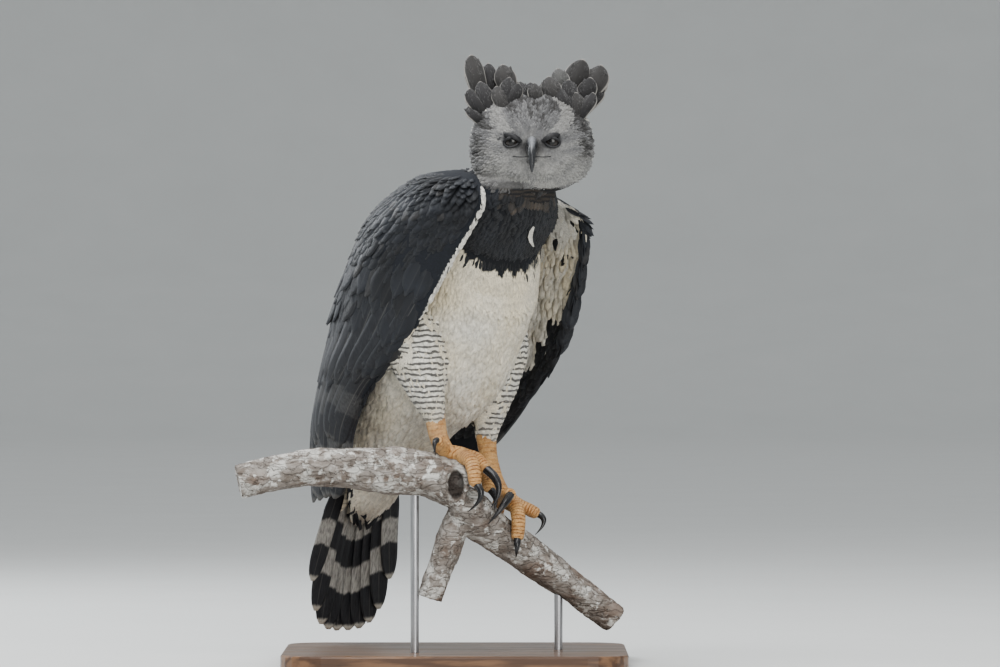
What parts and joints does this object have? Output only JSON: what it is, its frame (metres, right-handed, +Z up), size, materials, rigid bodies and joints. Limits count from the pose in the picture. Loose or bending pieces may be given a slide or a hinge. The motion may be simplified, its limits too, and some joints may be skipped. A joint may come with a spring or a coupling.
{
  "type": "perched harpy eagle model",
  "caption": "Life-size still museum model of an adult harpy eagle, perched on a cut length of branch held by two rods on a flat base.",
  "frame": {"origin": "On the floor plane under the display base: z = 0 is the underside of the base and the origin is the middle of its footprint on the floor.", "axes": "+Z up. The bird's face looks along -Y; its body is turned 38 degrees towards +X; +X is to the viewer's right."},
  "size_m": [0.5676, 0.4751, 0.8802],
  "materials": {
    "plumage_white": "matte cream-white body feathers",
    "plumage_black": "slate-black feathers with a faint sheen",
    "plumage_grey": "soft grey head feathers",
    "barred_leg": "white thigh feathers with narrow black bars",
    "leg_skin": "orange-yellow scaled skin",
    "claw_horn": "polished black horn",
    "bill_horn": "satin black-grey horn",
    "eye": "glossy dark eye",
    "bark": "rough grey bark with pale lichen",
    "stand_wood": "dark satin varnished board",
    "stand_steel": "brushed steel rod"
  },
  "bodies": {
    "root": {"bill_lower": "bill_horn", "bill_upper": "bill_horn", "branch_left": "bark", "branch_right": "bark", "branch_stub": "bark", "claw_left_hind": "claw_horn", "claw_left_inner": "claw_horn", "claw_left_middle": "claw_horn", "claw_left_outer": "claw_horn", "claw_right_hind": "claw_horn", "claw_right_inner": "claw_horn", "claw_right_middle": "claw_horn", "claw_right_outer": "claw_horn", "eye_left": "eye", "eye_right": "eye", "foot_left": "leg_skin", "foot_right": "leg_skin", "head": "plumage_grey", "neck": "plumage_black", "shank_left": "leg_skin", "shank_right": "leg_skin", "stand_base": "stand_wood", "stand_rod_left": "stand_steel", "stand_rod_right": "stand_steel", "tail": "plumage_black", "thigh_left": "barred_leg", "thigh_right": "barred_leg", "torso": "plumage_white", "wing_left": "plumage_black", "wing_right": "plumage_black"}
  },
  "joints": []
}
